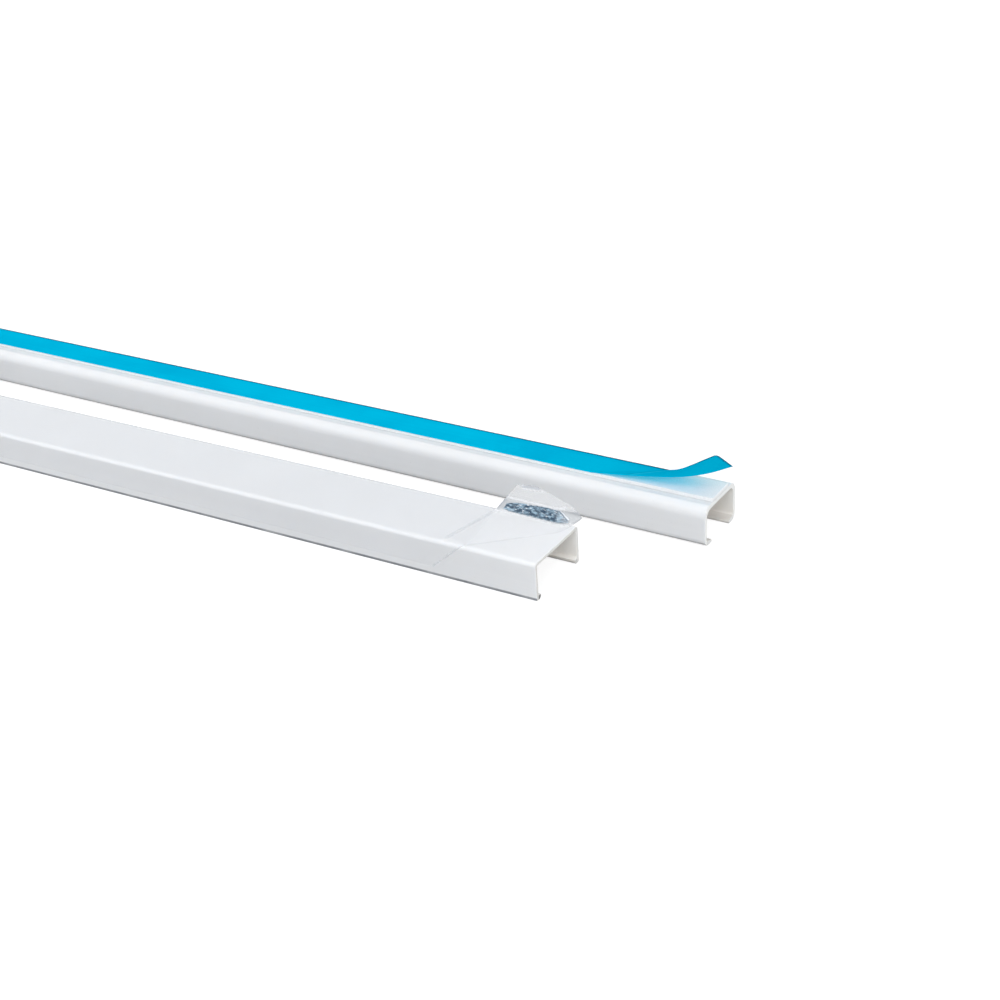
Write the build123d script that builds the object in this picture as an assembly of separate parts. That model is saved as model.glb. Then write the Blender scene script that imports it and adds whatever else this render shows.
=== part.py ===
"""Cord cover raceway: a stick-on base channel and its clip-on cover, laid side by side.

Lengths are in millimetres and angles in degrees. +X runs along the stock towards its opened
end, +Z is up and the floor is Z = 0. Both channels lie on their mouths. The base shows its
adhesive back with the release liner lifted at the end, and the cover's protective film is
folded back at one corner. The origin is the middle of the whole set's footprint.
"""

import os
from math import cos, radians, sin

from build123d import *

# Stock
stock_length = 1524.0

# Base channel section
base_width = 28.4
base_height = 17.6
base_wall = 1.6
base_back = 2.2
base_shoulder_radius = 5.2
base_foot_radius = 3.2
base_inner_foot_radius = 1.0
lip_reach = 4.5
lip_root = 2.0
lip_tip = 1.2
lip_edge_radius = 0.4
recess_width = 21.0
recess_depth = 0.4

# Adhesive tape and its release liner
tape_width = 15.0
tape_thickness = 1.6
liner_width = 15.4
liner_thickness = 0.2
# Lifted end of the liner, from where it leaves the tape to its tip: (X from the base's end, rise)
liner_near_edge = [(-54.0, 0.0), (-32.0, 3.1), (-14.0, 6.6), (-2.0, 10.7), (8.5, 16.0)]
liner_far_edge = [(-26.0, 0.0), (-21.5, 1.4), (-16.0, 4.5), (-10.5, 8.0), (-5.2, 11.3)]

# Cover channel section
side_clearance = 1.15
cover_wall = 1.3
cover_height = 16.0
cover_shoulder_radius = 1.6
cover_inner_radius = 0.6
cover_foot_radius = 0.4
hook_bite = 0.55
hook_height = 2.6
hook_tip_top = 1.8
hook_tip_bottom = 0.9
hook_lead_in = 0.9
hook_edge_radius = 0.3

# Protective film on the cover
film_thickness = 0.15
film_hem_height = 4.0
film_fold_from_end = 32.0
film_fold_inset = 0.8
film_fold_angle = 41.0
film_roll_radius = 1.2
film_turn = 147.0
film_flap_length = 47.0
# Free edge of the turned-back flap, between the fold's ends: (way along the fold, reach from it)
film_flap_edge = [(25.6, 25.0), (33.0, 22.0), (37.7, 16.8), (43.5, 9.0)]

# How the two channels lie
cover_setback = 39.4
channel_gap = 30.5
cover_yaw = 0.97

# How far a cutting shape runs past what it cuts
overrun = 2.0

# Values that follow from the ones above
mouth_width = base_width - 2 * (base_wall + lip_reach)
cover_width = base_width + 2 * (side_clearance + cover_wall)
cover_inner_half = cover_width / 2 - cover_wall
hook_reach = side_clearance + hook_bite
recess_floor = base_height - recess_depth
tape_top = recess_floor + tape_thickness
film_top = cover_height + film_thickness


def rounded_block(width, height, top_radius, foot_radius):
    """Outline standing on the x axis, with its own radius at the top and at the foot."""
    block = Rectangle(width, height, align=(Align.CENTER, Align.MIN))
    block = fillet(block.vertices().sort_by(Axis.Y)[2:], top_radius)
    return fillet(block.vertices().sort_by(Axis.Y)[:2], foot_radius)


def mirrored_face(points):
    """Face bounded by the points of its right half and by the same points on the left."""
    left = [(-x, y) for x, y in reversed(points)]
    return make_face(Polyline(*points, *left, close=True))


def fillet_at(section, x, y, radius):
    """Round the section's corners at (x, y) and at (-x, y)."""
    corners = [v for v in section.vertices() if abs(abs(v.X) - x) + abs(v.Y - y) < radius / 2]
    return fillet(corners, radius)


def along_stock(section):
    """Extrude a section along the whole stock, which ends at X = 0."""
    return Pos(-stock_length, 0, 0) * extrude(Plane.YZ * section, amount=stock_length)


def make_base():
    """C-shaped base channel: walls, tapered lips at the mouth, shallow recess in the back."""
    inner_half = base_width / 2 - base_wall
    inner_top = base_height - base_back
    mouth_half = mouth_width / 2
    hollow = mirrored_face(
        [
            (inner_half, inner_top),
            (inner_half, lip_root),
            (mouth_half, lip_tip),
            (mouth_half, -overrun),
        ]
    )
    hollow = fillet_at(hollow, inner_half, inner_top, base_shoulder_radius - base_wall)
    hollow = fillet_at(hollow, inner_half, lip_root, base_inner_foot_radius)
    recess = Pos(0, recess_floor) * Rectangle(
        recess_width, recess_depth + overrun, align=(Align.CENTER, Align.MIN)
    )
    section = rounded_block(base_width, base_height, base_shoulder_radius, base_foot_radius)
    section = section - hollow - recess
    section = fillet_at(section, mouth_half, 0, lip_edge_radius)
    section = fillet_at(section, mouth_half, lip_tip, lip_edge_radius)
    return along_stock(section)


def make_tape():
    """Adhesive foam strip on the floor of the base's recess."""
    strip = Pos(0, recess_floor) * Rectangle(
        tape_width, tape_thickness, align=(Align.CENTER, Align.MIN)
    )
    return along_stock(strip)


def make_liner():
    """Release liner: flat on the tape up to a slanted line, then lifted to its slanted tip."""
    half = liner_width / 2
    flat = make_face(
        Polyline(
            (-stock_length, -half),
            (liner_near_edge[0][0], -half),
            (liner_far_edge[0][0], half),
            (-stock_length, half),
            close=True,
        )
    )
    liner = Pos(0, 0, tape_top) * extrude(flat, amount=liner_thickness)
    stations = []
    for (near_x, near_rise), (far_x, far_rise) in zip(liner_near_edge, liner_far_edge):
        near = Vector(near_x, -half, tape_top + near_rise)
        far = Vector(far_x, half, tape_top + far_rise)
        up = Vector(0, 0, liner_thickness)
        stations.append(make_face(Polyline(near, far, far + up, near + up, close=True)))
    return liner + loft(stations)


def make_cover():
    """Cover channel: thin plate and walls, with an in-turned hook along the foot of each wall."""
    tip = cover_inner_half - hook_reach
    foot = cover_inner_half - hook_lead_in
    plate_under = cover_height - cover_wall
    hollow = mirrored_face(
        [
            (cover_inner_half, plate_under),
            (cover_inner_half, hook_height),
            (tip, hook_tip_top),
            (tip, hook_tip_bottom),
            (foot, 0),
            (foot, -overrun),
        ]
    )
    hollow = fillet_at(hollow, cover_inner_half, plate_under, cover_inner_radius)
    hollow = fillet_at(hollow, cover_inner_half, hook_height, cover_inner_radius)
    section = rounded_block(cover_width, cover_height, cover_shoulder_radius, cover_foot_radius)
    section = section - hollow
    section = fillet_at(section, tip, hook_tip_top, hook_edge_radius)
    section = fillet_at(section, tip, hook_tip_bottom, hook_edge_radius)
    return along_stock(section)


def make_film():
    """Film on the cover's plate and walls, ending at a slanted fold with a turned-back flap."""
    along = Vector(cos(radians(film_fold_angle)), sin(radians(film_fold_angle)), 0)
    across = Vector(along.Y, -along.X, 0)
    near = -cover_width / 2
    corner = Vector(-film_fold_from_end, near + film_fold_inset, 0)

    wrap = rounded_block(
        cover_width + 2 * film_thickness,
        film_top,
        cover_shoulder_radius + film_thickness,
        cover_foot_radius,
    )
    inside = rounded_block(cover_width, cover_height, cover_shoulder_radius, cover_foot_radius)
    hem = Rectangle(cover_width + overrun, film_hem_height, align=(Align.CENTER, Align.MIN))
    skin = along_stock(wrap - inside - hem)

    # The plate loses what lies on the near side of the fold, and the near wall what lies
    # beyond the same fold carried down the wall.
    span = film_flap_length + overrun
    plate_loss = make_face(
        Polyline(
            (corner.X, near - overrun),
            (corner.X, corner.Y),
            tuple(corner + along * span)[:2],
            (corner.X + span, near - overrun),
            close=True,
        )
    )
    skin = skin - extrude(plate_loss, amount=film_top + overrun)
    wall_drop = film_top * along.X / along.Y
    wall_loss = make_face(
        Polyline(
            (corner.X, film_top),
            (corner.X + overrun, film_top),
            (corner.X + overrun, 0),
            (corner.X - wall_drop, 0),
            close=True,
        )
    )
    wall_cut = extrude(Plane.XZ.offset(-corner.Y) * wall_loss, amount=film_fold_inset + overrun)
    skin = skin - wall_cut

    # The flap is drawn across the fold: a roll starting flush with the skin, then a leaf.
    section_plane = Plane(
        origin=corner + Vector(0, 0, film_top + film_roll_radius),
        x_dir=across,
        z_dir=along * -1,
    )
    turn = radians(film_turn)
    inner = film_roll_radius
    outer = film_roll_radius + film_thickness
    flap_reach = max(reach for way, reach in film_flap_edge)
    leaf = flap_reach - inner * turn

    def on_roll(radius, part):
        return (radius * sin(part * turn), -radius * cos(part * turn))

    def beyond(point):
        return (point[0] + leaf * cos(turn), point[1] + leaf * sin(turn))

    def on_leaf(way, reach):
        return corner + along * way + across * (inner * sin(turn) + (reach - inner * turn) * cos(turn))

    outline = [
        ThreePointArc(on_roll(outer, 0), on_roll(outer, 1 / 2), on_roll(outer, 1)),
        Line(on_roll(outer, 1), beyond(on_roll(outer, 1))),
        Line(beyond(on_roll(outer, 1)), beyond(on_roll(inner, 1))),
        Line(beyond(on_roll(inner, 1)), on_roll(inner, 1)),
        ThreePointArc(on_roll(inner, 1), on_roll(inner, 1 / 2), on_roll(inner, 0)),
        Line(on_roll(inner, 0), on_roll(outer, 0)),
    ]
    sheet = extrude(section_plane * make_face(outline), amount=-film_flap_length)
    far_end = corner + along * film_flap_length
    edge = [on_leaf(way, reach) for way, reach in reversed(film_flap_edge)]
    bulge = across * (outer + overrun)
    plan = make_face(
        Polyline(
            tuple(corner + bulge)[:2],
            tuple(far_end + bulge)[:2],
            tuple(far_end)[:2],
            *[tuple(point)[:2] for point in edge],
            tuple(corner)[:2],
            close=True,
        )
    )
    flap = sheet & extrude(plan, amount=film_top + flap_reach)
    return skin + flap


def main():
    """Make every piece, put the set's footprint on the origin and export one file a piece."""
    cover_middle = -base_width / 2 - channel_gap - cover_width / 2
    cover_place = Pos(-cover_setback, cover_middle, 0) * Rot(0, 0, cover_yaw)
    pieces = {
        "base_channel": make_base(),
        "adhesive_tape": make_tape(),
        "release_liner": make_liner(),
        "cover_channel": cover_place * make_cover(),
        "protective_film": cover_place * make_film(),
    }
    box = Compound(children=[Part(p.wrapped) for p in pieces.values()]).bounding_box()
    middle = box.center()
    footing = Pos(-middle.X, -middle.Y, -box.min.Z)
    os.makedirs("parts", exist_ok=True)
    for name, piece in pieces.items():
        export_step(footing * piece, f"parts/{name}.step")


if __name__ == "__main__":
    main()
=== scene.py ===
"""Looks of a cord cover raceway: a stick-on base channel and its clip-on cover, laid side by side.

Lengths are in metres and angles in degrees. +X runs along the stock towards its opened end, +Z is up
and the floor is Z = 0. Each sub-assembly is a class with its sizes, a method that works out its
surface and one that dresses it. Surfaces are functions of two parameters on a grid, or a section
carried along a line. Outlines, patches and creases of the thin sheets are given in millimetres.
"""

import logging
from dataclasses import dataclass, replace
from enum import Enum
from typing import Any

import bpy
import numpy as np
from mathutils import Matrix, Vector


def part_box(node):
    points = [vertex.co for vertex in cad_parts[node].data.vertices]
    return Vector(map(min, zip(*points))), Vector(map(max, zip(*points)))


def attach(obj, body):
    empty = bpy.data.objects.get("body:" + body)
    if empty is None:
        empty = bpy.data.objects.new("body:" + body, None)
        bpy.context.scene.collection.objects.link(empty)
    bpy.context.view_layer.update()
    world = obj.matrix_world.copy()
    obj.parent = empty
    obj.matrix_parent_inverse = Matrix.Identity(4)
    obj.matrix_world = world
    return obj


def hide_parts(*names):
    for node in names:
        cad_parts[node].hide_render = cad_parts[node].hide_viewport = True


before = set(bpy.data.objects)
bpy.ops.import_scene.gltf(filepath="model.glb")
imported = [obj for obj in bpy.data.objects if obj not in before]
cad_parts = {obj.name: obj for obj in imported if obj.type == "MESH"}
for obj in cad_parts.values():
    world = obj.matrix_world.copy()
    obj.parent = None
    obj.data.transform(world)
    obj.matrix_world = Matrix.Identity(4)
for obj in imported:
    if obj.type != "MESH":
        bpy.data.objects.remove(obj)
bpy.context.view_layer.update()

MM = 0.001
BODY = "root"
FLAT_MAP = "flat_cut"
SMOOTH_BELOW = 35.0
GRIT_SCALE = 900.0
WHITE = (1.0, 1.0, 1.0)

Colour = tuple[float, float, float]
Spot = tuple[float, float]
Piece = bpy.types.Object
Material = bpy.types.Material
Tree = bpy.types.NodeTree
Socket = bpy.types.NodeSocket

log = logging.getLogger("raceway")


class Slot(Enum):
    """Material slots of the record."""

    BASE = "base_plastic"
    TAPE = "tape_foam"
    LINER = "liner_blue"
    COVER = "cover_plastic"
    FILM = "film_clear"


class Node(Enum):
    """Solids of the frame that the pieces stand for."""

    BASE = "base_channel"
    TAPE = "adhesive_tape"
    LINER = "release_liner"
    COVER = "cover_channel"
    FILM = "protective_film"


class Held(Enum):
    """How a sheet is held."""

    LAID = "laid"
    FOLDED = "folded"


# Lines and surfaces


def unit(vectors: np.ndarray) -> np.ndarray:
    """The vectors, each divided by its length."""
    return vectors / np.linalg.norm(vectors, axis=-1, keepdims=True)


def corner_arcs(corners: np.ndarray, radii: np.ndarray, closed: bool, steps: int = 9) -> np.ndarray:
    """Round the corners of a line.

    A corner B between A and C becomes an arc tangent to BA and BC. Its centre is on the bisector, at
    the radius over the sine of half the corner's angle. The arc's points turn evenly from one tangent
    point to the other. An open line keeps its first and last points as they are.

    Args:
        corners: The line's corners, one row each.
        radii: The radius at each corner, above 0.
        closed: Whether the last corner joins the first.
        steps: Points on each arc.

    Returns:
        The rounded line's points, one row each.
    """
    to_last = unit(np.roll(corners, 1, axis=0) - corners)
    to_next = unit(np.roll(corners, -1, axis=0) - corners)
    half = np.arccos(np.clip((to_last * to_next).sum(axis=1), -1.0, 1.0)) / 2
    centre = corners + unit(to_last + to_next) * (radii / np.sin(half))[:, None]
    reach = (radii / np.tan(half))[:, None]
    first = corners + to_last * reach - centre
    last = corners + to_next * reach - centre
    turn = (np.pi - 2 * half)[:, None]
    share = np.linspace(0.0, 1.0, steps)[None, :]
    from_first = (np.sin((1 - share) * turn) / np.sin(turn))[..., None]
    from_last = (np.sin(share * turn) / np.sin(turn))[..., None]
    arcs = centre[:, None] + from_first * first[:, None] + from_last * last[:, None]
    if closed:
        return arcs.reshape(-1, corners.shape[1])
    return np.concatenate([corners[:1], arcs[1:-1].reshape(-1, corners.shape[1]), corners[-1:]])


def filled(line: np.ndarray, step: float, closed: bool) -> np.ndarray:
    """Cut each run of a line into equal parts no longer than the step.

    Args:
        line: The line's points, one row each.
        step: Longest run that is left.
        closed: Whether the last point joins the first.

    Returns:
        The line's points with the new ones between them.
    """
    start = line if closed else line[:-1]
    stop = np.roll(line, -1, axis=0) if closed else line[1:]
    parts = np.maximum(np.ceil(np.linalg.norm(stop - start, axis=1) / step), 1).astype(int)
    run = np.repeat(np.arange(len(start)), parts)
    nth = np.arange(parts.sum()) - np.repeat(np.cumsum(parts) - parts, parts)
    share = (nth / parts[run])[:, None]
    points = start[run] * (1 - share) + stop[run] * share
    return points if closed else np.concatenate([points, line[-1:]])


def mirrored(half: list[tuple[float, float, float]]) -> np.ndarray:
    """Corners of a section from its right half, all as rows of (across, up, radius)."""
    right = np.array(half)
    return np.concatenate([right, right[::-1] * [-1, 1, 1]])


def outline(corners: np.ndarray, step: float) -> np.ndarray:
    """Closed line through rows of (across, up, radius), in runs no longer than the step."""
    return filled(corner_arcs(corners[:, :2], corners[:, 2], closed=True), step, closed=True)


def curve_through(points: np.ndarray, share: np.ndarray) -> np.ndarray:
    """Smooth curve through a few points.

    Between two points it is the cubic that has their places and their slopes, where a point's slope
    is the mean change to its neighbours.

    Args:
        points: The points, one row each.
        share: Places along the curve, from 0 at the first point to 1 at the last.

    Returns:
        The curve's points, one row for each share.
    """
    slope = np.gradient(points, axis=0)
    at = np.clip(share, 0.0, 1.0) * (len(points) - 1)
    i = np.minimum(at.astype(int), len(points) - 2)
    t = (at - i)[:, None]
    return (
        points[i] * (1 + 2 * t) * (1 - t) ** 2
        + slope[i] * t * (1 - t) ** 2
        + points[i + 1] * t**2 * (3 - 2 * t)
        + slope[i + 1] * t**2 * (t - 1)
    )


def ramp(low: float, high: float, value: np.ndarray) -> np.ndarray:
    """Smooth step from 0 at low to 1 at high: 3 s squared less 2 s cubed."""
    s = np.clip((value - low) / (high - low), 0.0, 1.0)
    return s * s * (3 - 2 * s)


def grid_quads(ids: np.ndarray) -> np.ndarray:
    """Quads between the neighbours of a grid of vertex numbers, turned from columns to rows."""
    corners = [ids[:-1, :-1], ids[:-1, 1:], ids[1:, 1:], ids[1:, :-1]]
    return np.stack(corners, axis=-1).reshape(-1, 4)


@dataclass(frozen=True)
class Place:
    """Where a channel lies: the middle of its opened end on the floor, and its turn about Z."""

    x: float
    y: float
    yaw: float = 0.0

    def put(self, local: np.ndarray) -> np.ndarray:
        """Turn local points (along, across, up) about Z and carry them to the channel's end."""
        turn = np.radians(self.yaw)
        along = np.array([np.cos(turn), np.sin(turn), 0.0])
        across = np.array([-np.sin(turn), np.cos(turn), 0.0])
        up = np.array([0.0, 0.0, 1.0])
        end = np.array([self.x, self.y, 0.0])
        return end + local[..., :1] * along + local[..., 1:2] * across + local[..., 2:] * up


@dataclass
class Bar:
    """A closed section carried along X from the stock's far end to X = 0, with softened ends.

    A point is section(j) moved towards the wall's inside by inset(i), at station(i). Near each end the
    station and the inset follow a quarter circle, which rounds the sawn edge. A wavy bar sways to the
    sides by the sum of two sines of the station.
    """

    section: np.ndarray
    length: float
    edge: float
    stations: int = 48
    edge_steps: int = 5
    wave: float = 0.0
    wave_length: float = 37 * MM

    def piece(self, name: str, place: Place) -> Piece:
        """Make the bar, with its sawn ends flat and in the second material.

        Args:
            name: The piece's name.
            place: Where the stock lies.

        Returns:
            The new object.
        """
        turn = np.linspace(0.0, np.pi / 2, self.edge_steps)
        round_x = self.edge * (1 - np.sin(turn))
        round_in = self.edge * (1 - np.cos(turn))
        middle = np.linspace(-self.length + self.edge, -self.edge, self.stations)[1:-1]
        station = np.concatenate([(round_x - self.length)[::-1], middle, -round_x])
        inset = np.concatenate([round_in[::-1], np.zeros(len(middle)), round_in])
        tangent = unit(np.roll(self.section, -1, axis=0) - np.roll(self.section, 1, axis=0))
        inward = np.stack([-tangent[:, 1], tangent[:, 0]], axis=1)
        rings = self.section[None] + inset[:, None, None] * inward[None]
        along = np.broadcast_to(station[:, None, None], rings.shape[:2] + (1,))
        points = np.concatenate([along, rings], axis=2)
        phase = station * 2 * np.pi / self.wave_length
        sway = 0.6 * np.sin(phase) + 0.4 * np.sin(2.3 * phase + 1.0)
        points[..., 1] += self.wave * sway[:, None]
        ids = np.arange(points[..., 0].size).reshape(points.shape[:2])
        sides = grid_quads(np.concatenate([ids, ids[:, :1]], axis=1))
        ends = [ids[0, ::-1].tolist(), ids[-1].tolist()]
        piece = new_piece(name, place.put(points), sides.tolist() + ends)
        is_end = np.arange(len(piece.data.polygons)) >= len(sides)
        piece.data.polygons.foreach_set("material_index", is_end.astype(np.int32))
        piece.data.polygons.foreach_set("use_smooth", ~is_end)
        return piece


def new_piece(name: str, points: np.ndarray, faces: list[list[int]]) -> Piece:
    """Put a surface into a smooth mesh.

    Args:
        name: The piece's name.
        points: Its points in the frame, the last axis being X, Y and Z.
        faces: The vertex numbers of each face.

    Returns:
        The new object, at the origin.
    """
    mesh = bpy.data.meshes.new(name)
    mesh.from_pydata(points.reshape(-1, 3).tolist(), [], faces)
    mesh.polygons.foreach_set("use_smooth", np.ones(len(mesh.polygons), bool))
    mesh.set_sharp_from_angle(angle=np.radians(SMOOTH_BELOW))
    mesh.validate()
    piece = bpy.data.objects.new(name, mesh)
    bpy.context.scene.collection.objects.link(piece)
    return piece


def make_sheet(piece: Piece, places: np.ndarray, thickness: float) -> None:
    """Turn a surface into a sheet.

    Args:
        piece: The surface, which becomes the sheet's middle.
        places: Each vertex's place on the flat cut, in metres. They become the piece's UV map.
        thickness: The sheet's thickness, half to each side.
    """
    mesh = piece.data
    vertex = np.zeros(len(mesh.loops), np.int32)
    mesh.loops.foreach_get("vertex_index", vertex)
    layer = mesh.uv_layers.new(name=FLAT_MAP)
    layer.data.foreach_set("uv", places.reshape(-1, 2)[vertex].astype(np.float32).ravel())
    solid = piece.modifiers.new("thickness", "SOLIDIFY")
    solid.thickness = thickness
    solid.offset = 0.0


def seat(piece: Piece, node: Node) -> Piece:
    """Ride the piece on the body, in place of its solid."""
    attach(piece, BODY)
    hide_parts(node.value)
    log.info("%s: %d faces, stands for %s", piece.name, len(piece.data.polygons), node.value)
    return piece


# Node groups and finishes


class Wiring:
    """Adds nodes to one tree and links them."""

    def __init__(self, tree: Tree) -> None:
        """Keep the tree, without the nodes that it came with."""
        self.tree = tree
        tree.nodes.clear()

    def join(self, node: bpy.types.Node, inputs: dict[Any, Any]) -> None:
        """Link or set a node's inputs.

        Args:
            node: The node.
            inputs: For each input's name or number, a socket to link or a value to set.
        """
        for name, value in inputs.items():
            socket = node.inputs[name]
            if isinstance(value, Socket):
                self.tree.links.new(value, socket)
            else:
                socket.default_value = (*value, 1.0) if socket.type == "RGBA" else value

    def add(self, kind: str, inputs: dict[Any, Any] | None = None, **settings: Any) -> bpy.types.Node:
        """Add a node.

        Args:
            kind: The node's type, without the word ShaderNode.
            inputs: For each input's name or number, a socket to link or a value to set.
            settings: Values of the node itself.

        Returns:
            The new node.
        """
        node = self.tree.nodes.new("ShaderNode" + kind)
        for name, value in settings.items():
            setattr(node, name, value)
        self.join(node, inputs or {})
        return node

    def effect(self, group: Tree, **inputs: Any) -> Any:
        """Place a node group with its own values and return its output sockets."""
        return self.add("Group", inputs, node_tree=group).outputs

    def math(self, operation: str, *values: Any, clamp: bool = False) -> Socket:
        """One step of arithmetic on sockets or numbers."""
        node = self.add("Math", dict(enumerate(values)), operation=operation, use_clamp=clamp)
        return node.outputs[0]

    def times(self, first: Any, second: Any, plus: Any = 0.0) -> Socket:
        """Product of two sockets or numbers, plus a third."""
        return self.math("MULTIPLY_ADD", first, second, plus)

    def vector(self, operation: str, *values: Any, result: str = "Vector") -> Socket:
        """One step of arithmetic on vectors, with a vector or a Value as its result."""
        return self.add("VectorMath", dict(enumerate(values)), operation=operation).outputs[result]

    def split(self, vector: Socket) -> Any:
        """X, Y and Z of a vector."""
        return self.add("SeparateXYZ", {0: vector}).outputs

    def own(self) -> Socket:
        """The piece's own coordinates."""
        return self.add("TexCoord").outputs["Object"]

    def between(
        self, value: Any, low: Any, high: Any, to_low: float = 0.0, to_high: float = 1.0
    ) -> Socket:
        """Map a value's range onto another with a smooth step."""
        inputs = {"Value": value, 1: low, 2: high, 3: to_low, 4: to_high}
        node = self.add("MapRange", inputs, interpolation_type="SMOOTHSTEP")
        return node.outputs["Result"]

    def noise(self, vector: Any, scale: Any, detail: float = 2.0, rough: float = 0.5) -> Socket:
        """Value of a noise texture, about 0.5 on average."""
        inputs = {"Vector": vector, "Scale": scale, "Detail": detail, "Roughness": rough}
        return self.add("TexNoise", inputs).outputs["Fac"]

    def grit(self, vector: Any) -> Socket:
        """Fine noise about 0, which makes an edge ragged."""
        return self.math("SUBTRACT", self.noise(vector, GRIT_SCALE, 3.0, 0.6), 0.5)

    def mix(self, share: Any, first: Any, second: Any) -> Socket:
        """Blend of two colours."""
        inputs = {"Factor": share, 6: first, 7: second}
        return self.add("Mix", inputs, data_type="RGBA").outputs[2]

    def bump(self, height: Any, strength: float, depth: float) -> Socket:
        """Normals of a fine relief."""
        inputs = {"Height": height, "Strength": strength, "Distance": depth}
        return self.add("Bump", inputs).outputs[0]


def new_group(
    name: str, vectors: list[str], floats: list[str], outputs: list[str]
) -> tuple[Wiring, Any, bpy.types.Node]:
    """Make an empty shader node group.

    Args:
        name: The group's name.
        vectors: Names of the inputs that are vectors.
        floats: Names of the inputs that are numbers.
        outputs: Names of the outputs, which are numbers.

    Returns:
        The group's wiring, the sockets that its inputs arrive at, and its output node.
    """
    group = bpy.data.node_groups.new(name, "ShaderNodeTree")
    wire = Wiring(group)
    sides = ((vectors, "INPUT", "Vector"), (floats, "INPUT", "Float"), (outputs, "OUTPUT", "Float"))
    for labels, side, kind in sides:
        for label in labels:
            group.interface.new_socket(label, in_out=side, socket_type="NodeSocket" + kind)
    given = group.nodes.new("NodeGroupInput").outputs
    return wire, given, group.nodes.new("NodeGroupOutput")


class Effects:
    """Effects that several finishes share, each a node group built once."""

    def __init__(self) -> None:
        """Build the groups."""
        self.drawn = self._drawn_lines()
        self.marks = self._handling_marks()
        self.painted_shade = self._painted_feet_groove_shade()
        self.inner = self._inner_faces()
        self.crease = self._crease_line()

    @staticmethod
    def _drawn_lines() -> Tree:
        """Faint lines that the die leaves along an extrusion, and cloudy mottling.

        The lines are noise stretched along X, the mottling is noise of a few centimetres.
        """
        wire, given, made = new_group(
            "drawn_lines", ["Vector"], ["Pitch", "Cloud"], ["Lines", "Mottle"]
        )
        stretched = wire.vector("MULTIPLY", given["Vector"], (0.004, 1.0, 1.0))
        lines = wire.noise(stretched, wire.math("DIVIDE", 1.0, given["Pitch"]), 4.0, 0.65)
        mottle = wire.noise(given["Vector"], wire.math("DIVIDE", 1.0, given["Cloud"]), 3.0, 0.55)
        wire.join(made, {"Lines": lines, "Mottle": mottle})
        return wire.tree

    @staticmethod
    def _handling_marks() -> Tree:
        """Sparse hairline scuffs and specks of dust.

        Scuffs are the crests of noise stretched along X. Specks are small discs about the points of
        a cell pattern, kept where each cell's own random value is high.
        """
        wire, given, made = new_group(
            "handling_marks", ["Vector"], ["Scuff", "Speck"], ["Scuffs", "Specks"]
        )
        leaning = wire.vector("MULTIPLY", given["Vector"], (0.06, 1.0, 0.8))
        hair = wire.noise(leaning, wire.math("DIVIDE", 1.0, given["Scuff"]))
        patch_scale = 22.0
        patch = wire.between(wire.noise(given["Vector"], patch_scale), 0.48, 0.62)
        scuffs = wire.times(wire.between(hair, 0.68, 0.74), patch)
        disc_size = 0.12
        scale = wire.math("DIVIDE", disc_size, given["Speck"])
        cells = wire.add("TexVoronoi", {"Vector": given["Vector"], "Scale": scale}).outputs
        pick = wire.add("SeparateColor", {0: cells["Color"]}).outputs[0]
        disc = wire.between(cells["Distance"], disc_size, disc_size / 3)
        specks = wire.times(disc, wire.between(pick, 0.86, 0.9))
        wire.join(made, {"Scuffs": scuffs, "Specks": specks})
        return wire.tree

    @staticmethod
    def _painted_feet_groove_shade() -> Tree:
        """Painted shade along the feet of a channel and on the floor of the groove in its back.

        The feet are what lies lower than Foot. The groove is what lies higher than Level and nearer
        to Y = 0 than Half. Noise thins both.
        """
        wire, given, made = new_group(
            "painted_feet_groove_shade", ["Vector"], ["Foot", "Level", "Half"], ["Feet", "Groove"]
        )
        place = wire.split(given["Vector"])
        thin_scale = 60.0
        thinned = wire.noise(given["Vector"], thin_scale, 3.0)
        patchy = wire.between(thinned, 0.2, 0.6, to_low=0.6)
        # Painted shade along the feet
        feet = wire.between(place[2], given["Foot"], wire.times(given["Foot"], 0.6))
        # Painted shade on the floor of the groove
        across = wire.math("LESS_THAN", wire.math("ABSOLUTE", place[1]), given["Half"])
        groove = wire.times(across, wire.math("GREATER_THAN", place[2], given["Level"]))
        wire.join(made, {"Feet": wire.times(feet, patchy), "Groove": wire.times(groove, patchy)})
        return wire.tree

    @staticmethod
    def _inner_faces() -> Tree:
        """Mask of a channel's inner faces.

        They are lower than Top and nearer to Y = 0 than Half, and the sum of their height and their
        distance from Y = 0 is less than Corner, which leaves out a rounded shoulder's outside.
        """
        wire, given, made = new_group("inner_faces", ["Vector"], ["Top", "Half", "Corner"], ["Mask"])
        place = wire.split(given["Vector"])
        aside = wire.math("ABSOLUTE", place[1])
        across = wire.math("LESS_THAN", aside, given["Half"])
        mask = wire.times(across, wire.math("LESS_THAN", place[2], given["Top"]))
        within = wire.math("LESS_THAN", wire.math("ADD", aside, place[2]), given["Corner"])
        wire.join(made, {"Mask": wire.times(mask, within)})
        return wire.tree

    @staticmethod
    def _crease_line() -> Tree:
        """Mask along a straight line on the flat cut.

        It is 1 on the segment from Start to End and falls to 0 at Width from it, with the distance
        shifted by a little noise.
        """
        wire, given, made = new_group("crease_line", ["Vector", "Start", "End"], ["Width"], ["Mask"])
        reach = wire.vector("SUBTRACT", given["Vector"], given["Start"])
        run = wire.vector("SUBTRACT", given["End"], given["Start"])
        along = wire.math(
            "DIVIDE",
            wire.vector("DOT_PRODUCT", reach, run, result="Value"),
            wire.vector("DOT_PRODUCT", run, run, result="Value"),
            clamp=True,
        )
        nearest = wire.add("VectorMath", {0: run, "Scale": along}, operation="SCALE").outputs[0]
        off = wire.vector("DISTANCE", reach, nearest, result="Value")
        off = wire.times(wire.grit(given["Vector"]), given["Width"], off)
        wire.join(made, {"Mask": wire.between(off, given["Width"], 0.0)})
        return wire.tree


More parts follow.
